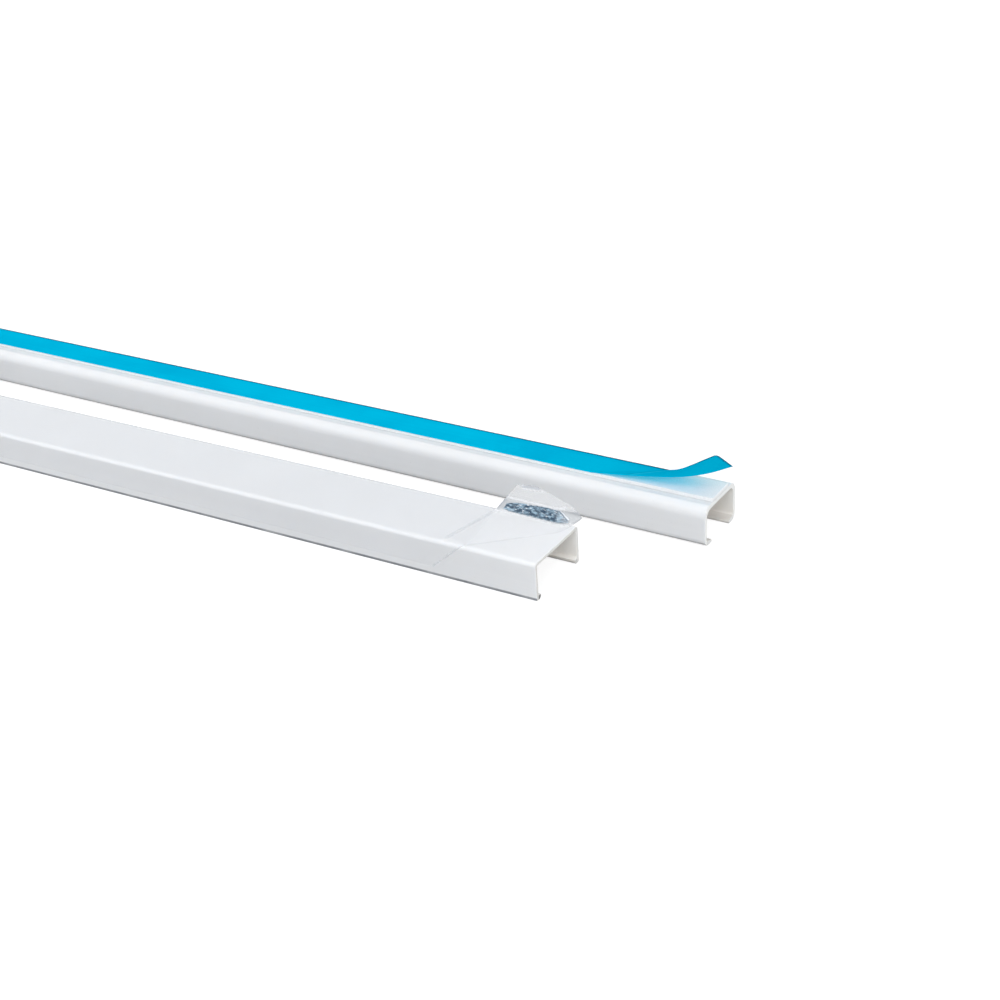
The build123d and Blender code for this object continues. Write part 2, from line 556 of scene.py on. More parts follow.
def blank_material(name: str) -> tuple[Material, Wiring, bpy.types.Node]:
    """New material with only a Principled shader, its wiring and that shader."""
    material = bpy.data.materials.new(name)
    material.use_nodes = True
    wire = Wiring(material.node_tree)
    shader = wire.add("BsdfPrincipled")
    wire.add("OutputMaterial", {"Surface": shader.outputs[0]})
    return material, wire, shader


def along_channel(wire: Wiring, place: Place) -> Socket:
    """Object coordinates moved and turned so that X runs along a channel, from its opened end."""
    inputs = {
        "Vector": wire.own(),
        "Location": (place.x, place.y, 0.0),
        "Rotation": (0.0, 0.0, np.radians(place.yaw)),
    }
    return wire.add("Mapping", inputs, vector_type="TEXTURE").outputs[0]


def flat_cut(wire: Wiring) -> Socket:
    """The sheet's own map, in metres on its flat cut."""
    return wire.add("UVMap", uv_map=FLAT_MAP).outputs[0]


@dataclass(frozen=True)
class PlasticFinish:
    """Satin white extruded plastic with faint die lines, mottling, scuffs and dust.

    Its inner faces are painted with a warm bounce of light, with painted shade low down and painted
    light towards the top. Painted shade lies on the hooks or lips at the mouth, along the feet and in
    the groove of the back.
    """

    name: str
    place: Place
    pale: Colour
    deep: Colour
    # Painted shade along the feet, below this height
    foot: float
    foot_shade_share: float
    inner_half: float
    inner_top: float
    inner_corner: float
    hook_top: float
    hook_shade_share: float
    groove_level: float = 1.0
    groove_half: float = 0.0
    groove_shade_share: float = 0.12
    # Painted warm bounce light on the inner faces: darker low down, paler towards the top
    painted_bounce_high: Colour = (0.99, 0.94, 0.865)
    painted_bounce_low: Colour = (0.83, 0.785, 0.72)
    painted_bounce_share: float = 0.7
    inner_foot_shade_cut: float = 0.8
    # Painted shade on the hooks or lips at the mouth
    painted_hook_shade: Colour = (0.3, 0.27, 0.23)
    # Painted shade along the feet and in the groove
    painted_shade: Colour = (0.2, 0.21, 0.23)
    dust: Colour = (0.42, 0.41, 0.39)
    dust_share: float = 0.25
    line_share: float = 0.35
    pitch: float = 0.9 * MM
    cloud: float = 45 * MM
    scuff: float = 0.5 * MM
    speck: float = 0.25 * MM
    roughness: float = 0.28
    mottle_rough: float = 0.12
    scuff_rough: float = 0.18
    relief: float = 0.02 * MM
    shine: float = 0.28
    depth_share: float = 0.7
    depth_tint: Colour = (1.0, 0.95, 0.9)
    depth: float = 2.5 * MM

    def material(self, effects: Effects) -> Material:
        """Wire the finish and return its material."""
        material, wire, shader = blank_material(self.name)
        where = along_channel(wire, self.place)
        drawn = wire.effect(effects.drawn, Vector=where, Pitch=self.pitch, Cloud=self.cloud)
        marks = wire.effect(effects.marks, Vector=where, Scuff=self.scuff, Speck=self.speck)
        groove = {"Level": self.groove_level, "Half": self.groove_half}
        painted_shade = wire.effect(effects.painted_shade, Vector=where, Foot=self.foot, **groove)
        hollow = {"Vector": where, "Half": self.inner_half, "Corner": self.inner_corner}
        inner = wire.effect(effects.inner, Top=self.inner_top, **hollow)["Mask"]
        # Hooks or lips at the mouth, which take painted shade
        hooks = wire.effect(effects.inner, Top=self.hook_top, **hollow)["Mask"]
        # Painted warm bounce on the inner faces, with painted shade low down and painted light towards
        # the top
        rise = wire.between(wire.split(where)[2], self.hook_top, self.inner_top)
        # Painted shade along the feet, mostly kept off the inner hooks
        feet = wire.times(hooks, -self.inner_foot_shade_cut * self.foot_shade_share, self.foot_shade_share)
        tone = wire.times(drawn["Lines"], self.line_share, drawn["Mottle"])
        colour = wire.mix(wire.between(tone, 0.45, 0.95), self.pale, self.deep)
        for mask, share, tint in (
            (inner, self.painted_bounce_share, wire.mix(rise, self.painted_bounce_low, self.painted_bounce_high)),
            (hooks, self.hook_shade_share, self.painted_hook_shade),
            (marks["Specks"], self.dust_share, self.dust),
            (painted_shade["Feet"], feet, self.painted_shade),
            (painted_shade["Groove"], self.groove_shade_share, self.painted_shade),
        ):
            colour = wire.mix(wire.times(mask, share), colour, tint)
        rough = wire.times(drawn["Mottle"], self.mottle_rough, self.roughness)
        height = wire.times(marks["Scuffs"], -0.5, drawn["Lines"])
        inputs = {
            "Base Color": colour,
            "Roughness": wire.times(marks["Scuffs"], self.scuff_rough, rough),
            "Normal": wire.bump(height, 0.12, self.relief),
            "Specular IOR Level": self.shine,
            "Subsurface Weight": self.depth_share,
            "Subsurface Radius": self.depth_tint,
            "Subsurface Scale": self.depth,
        }
        wire.join(shader, inputs)
        return material


@dataclass(frozen=True)
class SawnFinish:
    """Sawn end of the plastic: duller, creamier, crossed by fine saw marks, painted shade at the hooks.
    """

    name: str
    place: Place
    hook_top: float
    hook_half: float
    hook_shade_share: float
    far_hook_shade_share: float = 1.0
    pale: Colour = (0.94, 0.935, 0.91)
    deep: Colour = (0.87, 0.865, 0.83)
    # Painted shade at the hooks
    painted_shade: Colour = (0.05, 0.05, 0.05)
    saw_turn: float = 62.0
    pitch: float = 0.5 * MM
    cloud: float = 4 * MM
    roughness: float = 0.5
    mottle_rough: float = 0.2
    relief: float = 0.05 * MM

    def material(self, effects: Effects) -> Material:
        """Wire the finish and return its material."""
        material, wire, shader = blank_material(self.name)
        turn = (0.0, np.radians(self.saw_turn), 0.0)
        turned = wire.add("Mapping", {"Vector": wire.own(), "Rotation": turn}).outputs[0]
        drawn = wire.effect(effects.drawn, Vector=turned, Pitch=self.pitch, Cloud=self.cloud)
        where = along_channel(wire, self.place)
        corner = self.hook_top + self.hook_half
        hollow = {"Top": self.hook_top, "Half": self.hook_half, "Corner": corner}
        hooks = wire.effect(effects.inner, Vector=where, **hollow)["Mask"]
        # Painted shade at the hooks, with its own share on the far side
        far = wire.math("GREATER_THAN", wire.split(where)[1], 0.0)
        hook_shade_level = wire.times(far, (self.far_hook_shade_share - 1.0) * self.hook_shade_share, self.hook_shade_share)
        colour = wire.mix(wire.between(drawn["Lines"], 0.35, 0.7), self.pale, self.deep)
        inputs = {
            "Base Color": wire.mix(wire.times(hooks, hook_shade_level), colour, self.painted_shade),
            "Roughness": wire.times(drawn["Mottle"], self.mottle_rough, self.roughness),
            "Normal": wire.bump(drawn["Lines"], 0.4, self.relief),
        }
        wire.join(shader, inputs)
        return material


@dataclass(frozen=True)
class FoamFinish:
    """Matte white foam with fine open cells."""

    name: str
    pale: Colour = (0.93, 0.93, 0.93)
    deep: Colour = (0.84, 0.84, 0.84)
    cell: float = 0.35 * MM
    scuff: float = 0.6 * MM
    speck: float = 0.3 * MM
    roughness: float = 0.62
    scuff_smooth: float = 0.2
    relief: float = 0.05 * MM

    def material(self, effects: Effects) -> Material:
        """Wire the finish and return its material."""
        material, wire, shader = blank_material(self.name)
        own = wire.own()
        cells = wire.add("TexVoronoi", {"Vector": own, "Scale": 1.0 / self.cell}).outputs
        pore = wire.between(cells["Distance"], 0.2, 0.7)
        marks = wire.effect(effects.marks, Vector=own, Scuff=self.scuff, Speck=self.speck)
        inputs = {
            "Base Color": wire.mix(pore, self.deep, self.pale),
            "Roughness": wire.times(marks["Scuffs"], -self.scuff_smooth, self.roughness),
            "Normal": wire.bump(pore, 0.3, self.relief),
        }
        wire.join(shader, inputs)
        return material


@dataclass(frozen=True)
class Crease:
    """A line on a sheet's flat cut where it is bent, in millimetres, with how much it shows."""

    start: Spot
    end: Spot
    width: float
    strength: float

    def mask(self, wire: Wiring, effects: Effects, cut: Socket) -> Socket:
        """Mask of the line, up to its strength."""
        start, end = ((a * MM, b * MM, 0.0) for a, b in (self.start, self.end))
        line = wire.effect(effects.crease, Vector=cut, Start=start, End=end, Width=self.width * MM)
        return wire.times(line["Mask"], self.strength)


@dataclass(frozen=True)
class Patch:
    """A convex patch on a sheet's flat cut, in millimetres, its corners turning left.

    Noise shifts its edge by up to half of ragged, and the edge fades over soft.
    """

    corners: tuple[Spot, ...]
    ragged: float
    soft: float

    def mask(self, wire: Wiring, cut: Socket) -> Socket:
        """Mask of the patch, from the least distance inside its sides."""
        points = np.array(self.corners) * MM
        sides = unit(np.roll(points, -1, axis=0) - points)
        least: Any = 1.0
        for corner, side in zip(points, sides):
            reach = wire.vector("SUBTRACT", cut, (*corner, 0.0))
            inside = wire.vector("DOT_PRODUCT", reach, (-side[1], side[0], 0.0), result="Value")
            least = wire.math("MINIMUM", least, inside)
        return wire.between(wire.times(wire.grit(cut), self.ragged * MM, least), 0.0, self.soft * MM)


@dataclass(frozen=True)
class LinerFinish:
    """Smooth blue release film with painted shade on its far edge, tip and bend, and a painted
    highlight.
    """

    name: str
    width: float
    darker: tuple[Crease, ...]
    gleam: Crease
    clear: Colour = (0.0, 0.505, 0.765)
    deep: Colour = (0.0, 0.43, 0.69)
    # Painted shade along the far edge, the tip and the bend, and a painted highlight beside the bend
    edge: Colour = (0.0, 0.13, 0.24)
    light: Colour = (0.04, 0.62, 0.86)
    shade: Colour = (0.2, 0.74, 0.79)
    edge_width: float = 1.6 * MM
    line_share: float = 0.4
    pitch: float = 1.2 * MM
    cloud: float = 30 * MM
    scuff: float = 0.5 * MM
    speck: float = 0.2 * MM
    roughness: float = 0.4
    scuff_rough: float = 0.2
    relief: float = 0.02 * MM

    def material(self, effects: Effects) -> Material:
        """Wire the finish and return its material."""
        material, wire, shader = blank_material(self.name)
        cut = flat_cut(wire)
        own = wire.own()
        drawn = wire.effect(effects.drawn, Vector=own, Pitch=self.pitch, Cloud=self.cloud)
        marks = wire.effect(effects.marks, Vector=own, Scuff=self.scuff, Speck=self.speck)
        tone = wire.times(drawn["Lines"], self.line_share, drawn["Mottle"])
        colour = wire.mix(wire.between(tone, 0.5, 1.0), self.clear, self.deep)
        # Painted shade along the far edge, the tip and the bend
        dark = wire.between(wire.split(cut)[1], self.width - self.edge_width, self.width)
        for crease in self.darker:
            dark = wire.math("MAXIMUM", dark, crease.mask(wire, effects, cut))
        colour = wire.mix(dark, colour, self.edge)
        # Painted highlight beside the bend
        inputs = {
            "Base Color": wire.mix(self.gleam.mask(wire, effects, cut), colour, self.light),
            "Roughness": wire.times(marks["Scuffs"], self.scuff_rough, self.roughness),
            "Normal": wire.bump(tone, 0.1, self.relief),
            "Specular IOR Level": 0.0,
        }
        wire.join(shader, inputs)
        # Lamps shine through the liner and tint what lies under it
        lamp_ray = wire.add("LightPath").outputs["Is Shadow Ray"]
        through = wire.add("BsdfTransparent", {"Color": self.shade})
        both = wire.add("MixShader", {0: lamp_ray, 1: shader.outputs[0], 2: through.outputs[0]})
        wire.join(material.node_tree.get_output_node("ALL"), {"Surface": both.outputs[0]})
        return material


@dataclass(frozen=True)
class FilmFinish:
    """Clear film: a faint veil, milky on the loose flap, with painted grey and blue reflections, glints
    and crease shade.
    """

    name: str
    creases: tuple[Crease, ...]
    shade_lines: tuple[Crease, ...]
    glint: Crease
    flap_highlight: Crease
    slack: Patch
    grey_reflection_patch: Patch
    reflection_patch: Patch
    streak_turn: float
    streak: float = 2.0
    roll: float = 3 * MM
    loose_from: float = 24 * MM
    loose_lean: float = 0.45
    light_from: float = 35 * MM
    light_over: float = 7 * MM
    veil: Colour = (0.7, 0.71, 0.74)
    milk: Colour = (0.9, 0.9, 0.9)
    # Painted colours: a grey reflection at the flap's tip, shade along the creases, a highlight on the
    # flap, and the dark, light and glint tones of a blue reflection
    grey_reflection: Colour = (0.42, 0.44, 0.46)
    grey: Colour = (0.3, 0.32, 0.36)
    flap_highlight_tone: Colour = (0.66, 0.67, 0.69)
    dark_reflection: Colour = (0.018, 0.05, 0.09)
    sheen: Colour = (0.28, 0.41, 0.51)
    spark: Colour = (0.9, 0.93, 0.96)
    haze: float = 0.06
    slack_haze: float = 0.03
    milk_haze: float = 0.16
    grey_reflection_alpha: float = 0.4
    light_share: float = 0.05
    facet_scale: float = 900.0
    fleck_scale: float = 1300.0
    fleck_share: float = 0.6
    lighter_most: float = 0.35
    ripple_scale: float = 700.0
    roughness: float = 0.15
    relief: float = 0.1 * MM

    def painted_reflection(self, wire: Wiring, effects: Effects, cut: Socket) -> Socket:
        """Painted reflection: streaks and glinting flecks, lighter to one side, with painted shade
        lines and a glint.
        """
        turn = {"Rotation": (0.0, 0.0, self.streak_turn), "Scale": (self.streak, 1.0, 1.0)}
        streaky = wire.add("Mapping", {"Vector": cut, **turn}, vector_type="TEXTURE").outputs[0]
        facet = wire.between(wire.noise(streaky, self.facet_scale, 3.0, 0.68), 0.42, 0.64)
        fleck = wire.between(wire.noise(streaky, self.fleck_scale), 0.6, 0.68)
        # Painted reflection: dark and light streaks, with flecks of painted glints
        colour = wire.mix(facet, self.dark_reflection, self.sheen)
        colour = wire.mix(wire.times(fleck, self.fleck_share), colour, self.spark)
        side = (self.light_from, self.light_from + self.light_over)
        lighter = wire.between(wire.split(cut)[0], *side, to_high=self.lighter_most)
        colour = wire.mix(lighter, colour, self.spark)
        # Painted shade lines along the patch's lower edge and beside the glint
        for crease in self.shade_lines:
            colour = wire.mix(crease.mask(wire, effects, cut), colour, self.dark_reflection)
        # Painted glint at the patch's end
        return wire.mix(self.glint.mask(wire, effects, cut), colour, self.spark)

    def material(self, effects: Effects) -> Material:
        """Wire the finish and return its material."""
        material, wire, shader = blank_material(self.name)
        cut = flat_cut(wire)
        lines: Any = 0.0
        # Painted shade along the creases
        for crease in self.creases:
            lines = wire.math("ADD", lines, crease.mask(wire, effects, cut))
        flap_highlight = self.flap_highlight.mask(wire, effects, cut)
        grey_reflection_patch = self.grey_reflection_patch.mask(wire, cut)
        reflection_patch = self.reflection_patch.mask(wire, cut)
        place = wire.split(cut)
        colour = wire.mix(wire.between(place[1], 0.0, self.roll), self.veil, self.milk)
        # Painted grey reflection at the flap's tip
        colour = wire.mix(grey_reflection_patch, colour, self.grey_reflection)
        # Painted shade of the creases
        colour = wire.mix(wire.math("MINIMUM", lines, 1.0), colour, self.grey)
        # Painted highlight along a crease of the flap
        colour = wire.mix(flap_highlight, colour, self.flap_highlight_tone)
        # Painted blue reflection on the crumpled patch
        colour = wire.mix(reflection_patch, colour, self.painted_reflection(wire, effects, cut))
        reach = wire.times(place[0], self.loose_lean, place[1])
        loose = wire.between(reach, self.loose_from, self.loose_from + self.roll)
        alpha = wire.times(loose, self.milk_haze - self.haze, self.haze)
        alpha = wire.times(self.slack.mask(wire, cut), self.slack_haze, alpha)
        alpha = wire.times(grey_reflection_patch, self.grey_reflection_alpha, wire.math("ADD", alpha, lines))
        alpha = wire.math("ADD", wire.math("MAXIMUM", alpha, flap_highlight), reflection_patch, clamp=True)
        # So thin a film takes next to no light from what lies under it
        path = wire.add("LightPath").outputs
        passing = wire.math("ADD", path["Is Shadow Ray"], path["Is Diffuse Ray"], clamp=True)
        inputs = {
            "Base Color": colour,
            "Alpha": wire.times(alpha, wire.times(passing, self.light_share - 1.0, 1.0)),
            "Roughness": self.roughness,
            "Normal": wire.bump(wire.noise(cut, self.ripple_scale, 3.0, 0.6), 0.2, self.relief),
        }
        wire.join(shader, inputs)
        return material


# Sub-assemblies


@dataclass
class BaseChannel:
    """C-shaped base channel, lying on the lips of its mouth with its back up."""

    length: float = 1524 * MM
    width: float = 28.4 * MM
    height: float = 17.6 * MM
    wall: float = 1.6 * MM
    back: float = 2.2 * MM
    shoulder: float = 5.2 * MM
    shoulder_share: float = 0.975
    foot: float = 3.2 * MM
    inner_foot: float = 1.0 * MM
    lip_reach: float = 4.5 * MM
    lip_root: float = 2.0 * MM
    lip_tip: float = 1.2 * MM
    lip_round: float = 0.4 * MM
    recess_width: float = 21.0 * MM
    recess_depth: float = 0.4 * MM
    recess_round: float = 0.05 * MM
    sawn_edge: float = 0.04 * MM
    point_step: float = 0.6 * MM
    # Painted shade: along the feet, on the lips and at the lips of the sawn ends
    foot_shade_height: float = 2.2 * MM
    foot_shade_amount: float = 0.55
    lip_shade_amount: float = 0.2
    sawn_hook_shade: float = 0.15
    pale: Colour = (0.85, 0.85, 0.852)
    deep: Colour = (0.82, 0.82, 0.822)

    def place(self) -> Place:
        """Where the solid of the base lies in the frame."""
        low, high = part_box(Node.BASE.value)
        return Place(high.x, (low.y + high.y) / 2)

    def section(self) -> np.ndarray:
        """Closed outline of the wall, from the right lip's tip round the outside and back inside."""
        half = self.width / 2
        inner = half - self.wall
        mouth = inner - self.lip_reach
        ledge = self.recess_width / 2
        # The recess cuts the shoulder's arc short, at this angle and height of its circle
        lean = np.arccos((ledge - half + self.shoulder) / self.shoulder)
        rim = self.height - self.shoulder * (1 - np.sin(lean))
        knee = rim - (half - ledge) / np.tan(lean)
        outside = [
            (mouth, 0.0, self.lip_round),
            (half, 0.0, self.foot),
            (half, knee, self.shoulder * self.shoulder_share),
            (ledge, rim, self.recess_round),
            (ledge, self.height - self.recess_depth, self.recess_round),
        ]
        inside = [
            (mouth, self.lip_tip, self.lip_round),
            (inner, self.lip_root, self.inner_foot),
            (inner, self.height - self.back, self.shoulder - self.wall),
        ]
        corners = np.concatenate([mirrored(outside), mirrored(inside)[::-1]])
        return outline(corners, self.point_step)

    def build(self) -> Piece:
        """Carry the section along the stock."""
        bar = Bar(self.section(), self.length, self.sawn_edge)
        return seat(bar.piece("base_extrusion", self.place()), Node.BASE)

    def dress(self, piece: Piece, effects: Effects) -> None:
        """Give the walls the satin plastic and the ends the sawn finish."""
        half = self.width / 2
        # A slanted line that is tangent to the middle of the rounded shoulder's wall
        corner = half + self.height - 2 * self.shoulder + np.sqrt(2) * (self.shoulder - self.wall / 2)
        finish = PlasticFinish(
            "base_white",
            self.place(),
            self.pale,
            self.deep,
            self.foot_shade_height,
            self.foot_shade_amount,
            inner_half=half - self.wall / 2,
            inner_top=self.height - self.back / 2,
            inner_corner=corner,
            hook_top=self.lip_root,
            hook_shade_share=self.lip_shade_amount,
            groove_level=self.height - self.back,
            groove_half=self.recess_width / 2 - 2 * self.recess_round,
        )
        sawn = SawnFinish("base_sawn", self.place(), self.lip_root, half - self.wall, self.sawn_hook_shade)
        piece.data.materials.append(finish.material(effects))
        piece.data.materials.append(sawn.material(effects))


@dataclass
class AdhesiveTape:
    """Foam strip in the recess of the base's back, with slightly wavy edges."""

    base: BaseChannel
    width: float = 15.0 * MM
    thickness: float = 1.6 * MM
    edge_round: float = 0.25 * MM
    wave: float = 0.12 * MM
    stations: int = 160
    point_step: float = 0.5 * MM

    def top(self) -> float:
        """Height of the tape's upper face."""
        return self.base.height - self.base.recess_depth + self.thickness

    def build(self) -> Piece:
        """Carry a rounded rectangle along the stock, swaying to the sides."""
        half = self.width / 2 - self.wave
        levels = (self.top() - self.thickness, self.top())
        section = outline(mirrored([(half, up, self.edge_round) for up in levels]), self.point_step)
        bar = Bar(section, self.base.length, self.edge_round, self.stations, wave=self.wave)
        return seat(bar.piece("foam_tape", self.base.place()), Node.TAPE)

    def dress(self, piece: Piece, effects: Effects) -> None:
        """Give the strip and its ends their foam."""
        foam = FoamFinish("tape_white").material(effects)
        piece.data.materials.append(foam)
        piece.data.materials.append(foam)


@dataclass
class ReleaseLiner:
    """Blue liner, flat on the tape up to a slanted line and then lifted to its slanted tip."""

    tape: AdhesiveTape
    width: float = 15.4 * MM
    thickness: float = 0.16 * MM
    gap: float = 0.02 * MM
    tip_round: float = 3.2 * MM
    flat_columns: int = 30
    columns: int = 90
    rows: int = 25
    # Lifted end, from where it leaves the tape to its tip, in mm: (X from the base's end, rise)
    near_edge: tuple[Spot, ...] = ((-54, 0), (-32, 3.1), (-14, 6.6), (-2, 10.7), (8.5, 16))
    far_edge: tuple[Spot, ...] = ((-26, 0), (-21.5, 1.4), (-16, 4.5), (-10.5, 8), (-5.2, 11.3))
    # Lines where it bends off the tape, with painted shade and a painted highlight, in mm:
    # (X from the base's end, distance from the near edge)
    bend: Crease = Crease((-39, 1.2), (-25, 15.4), 0.7, 0.3)
    gleam: Crease = Crease((-36.5, 1.2), (-24, 13.9), 0.8, 0.6)

    def edge_line(self, lifted: tuple[Spot, ...], share: np.ndarray) -> np.ndarray:
        """Points (X, rise) of one edge: straight to the lift up to share 0, then a smooth curve."""
        curve = np.array(lifted) * MM
        flat_end = curve[0, 0]
        straight = flat_end + np.minimum(share, 0.0) * (self.tape.base.length + flat_end)
        flat = np.stack([straight, 0 * share], axis=1)
        return np.where(share[:, None] < 0, flat, curve_through(curve, share))

    def build(self) -> Piece:
        """Rule the strip between its near and far edges: point(s, t) = (1 - t) near(s) + t far(s).

        The far corner of the tip is round: there s stops short by a circle's sagitta.
        """
        flat = np.linspace(-1.0, 0.0, self.flat_columns)[:-1]
        share = np.concatenate([flat, np.linspace(0.0, 1.0, self.columns)])[:, None]
        across = np.linspace(0.0, 1.0, self.rows)
        into = np.clip((across - 1) * self.width / self.tip_round + 1, 0.0, 1.0)
        tip = np.linalg.norm(np.subtract(self.near_edge[-1], self.near_edge[0])) * MM
        short = self.tip_round * (1 - np.sqrt(1 - into**2)) / tip
        s = np.where(share > 0, share * (1 - short), share + 0 * short)
        near, far = (
            self.edge_line(edge, s.ravel()).reshape(s.shape + (2,))
            for edge in (self.near_edge, self.far_edge)
        )
        t = across[None, :, None]
        ruled = near * (1 - t) + far * t
        lift = self.tape.top() + self.gap + self.thickness / 2
        side = np.broadcast_to((across - 0.5) * self.width, s.shape)
        local = np.stack([ruled[..., 0], side, ruled[..., 1] + lift], axis=-1)
        ids = np.arange(s.size).reshape(s.shape)
        points = self.tape.base.place().put(local)
        piece = new_piece("blue_liner", points, grid_quads(ids.T).tolist())
        cut = np.stack([local[..., 0], across * self.width + 0 * s], axis=-1)
        make_sheet(piece, cut, self.thickness)
        return seat(piece, Node.LINER)

    def dress(self, piece: Piece, effects: Effects) -> None:
        """Give the strip its blue film, with painted shade along its tip and where it bends off the
        tape.
        """
        near, far = self.near_edge[-1][0], self.far_edge[-1][0]
        tip = Crease((near, 0.0), (far, self.width / MM), 1.0, 1.0)
        finish = LinerFinish("liner_blue", self.width, (tip, self.bend), self.gleam)
        piece.data.materials.append(finish.material(effects))

    def declare(self, piece: Piece, rests_on: Piece) -> None:
        """Left empty: it does nothing."""


@dataclass
class CoverChannel:
    """Cover channel, lying mouth down: plate, walls and an in-turned hook along each foot."""

    length: float = 1524 * MM
    width: float = 33.3 * MM
    height: float = 16.0 * MM
    wall: float = 1.3 * MM
    shoulder: float = 1.6 * MM
    inner_round: float = 0.6 * MM
    foot: float = 0.4 * MM
    hook_reach: float = 1.7 * MM
    hook_height: float = 2.6 * MM
    hook_tip_top: float = 1.8 * MM
    hook_tip_bottom: float = 0.9 * MM
    hook_lead_in: float = 0.9 * MM
    hook_round: float = 0.3 * MM
    sawn_edge: float = 0.08 * MM
    point_step: float = 0.6 * MM
    yaw: float = 0.97
    # Painted shade: along the feet, on the hooks and at the hooks of the sawn ends
    foot_shade_height: float = 1.5 * MM
    foot_shade_amount: float = 0.95
    hook_shade_amount: float = 0.3
    sawn_hook_shade: float = 0.85
    far_sawn_hook_shade: float = 0.25
    pale: Colour = (0.885, 0.885, 0.887)
    deep: Colour = (0.85, 0.85, 0.852)
    sawn_pale: Colour = (0.8, 0.785, 0.75)
    sawn_deep: Colour = (0.68, 0.665, 0.63)

    def place(self) -> Place:
        """Where the solid of the cover lies in the frame, from its turned end corners."""
        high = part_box(Node.COVER.value)[1]
        turn = np.radians(self.yaw)
        half = self.width / 2
        return Place(high.x - half * np.sin(turn), high.y - half * np.cos(turn), self.yaw)

    def section(self) -> np.ndarray:
        """Closed outline of the wall, from the right foot round the outside and back inside."""
        half = self.width / 2
        inner = half - self.wall
        tip = inner - self.hook_reach
        outside = [
            (inner - self.hook_lead_in, 0.0, self.hook_round / 2),
            (half, 0.0, self.foot),
            (half, self.height, self.shoulder),
        ]
        inside = [
            (tip, self.hook_tip_bottom, self.hook_round),
            (tip, self.hook_tip_top, self.hook_round),
            (inner, self.hook_height, self.inner_round),
            (inner, self.height - self.wall, self.inner_round),
        ]
        corners = np.concatenate([mirrored(outside), mirrored(inside)[::-1]])
        return outline(corners, self.point_step)

    def build(self) -> Piece:
        """Carry the section along the stock."""
        bar = Bar(self.section(), self.length, self.sawn_edge)
        return seat(bar.piece("cover_extrusion", self.place()), Node.COVER)

    def dress(self, piece: Piece, effects: Effects) -> None:
        """Give the walls the satin plastic and the ends the sawn finish."""
        half = self.width / 2
        finish = PlasticFinish(
            "cover_white",
            self.place(),
            self.pale,
            self.deep,
            self.foot_shade_height,
            self.foot_shade_amount,
            inner_half=half - self.wall / 2,
            inner_top=self.height - self.wall / 2,
            inner_corner=half + self.height - self.wall,
            hook_top=self.hook_tip_top,
            hook_shade_share=self.hook_shade_amount,
        )
        sawn = SawnFinish(
            "cover_sawn",
            self.place(),
            self.hook_tip_top,
            half - self.wall,
            self.sawn_hook_shade,
            self.far_sawn_hook_shade,
            self.sawn_pale,
            self.sawn_deep,
        )
        piece.data.materials.append(finish.material(effects))
        piece.data.materials.append(sawn.material(effects))


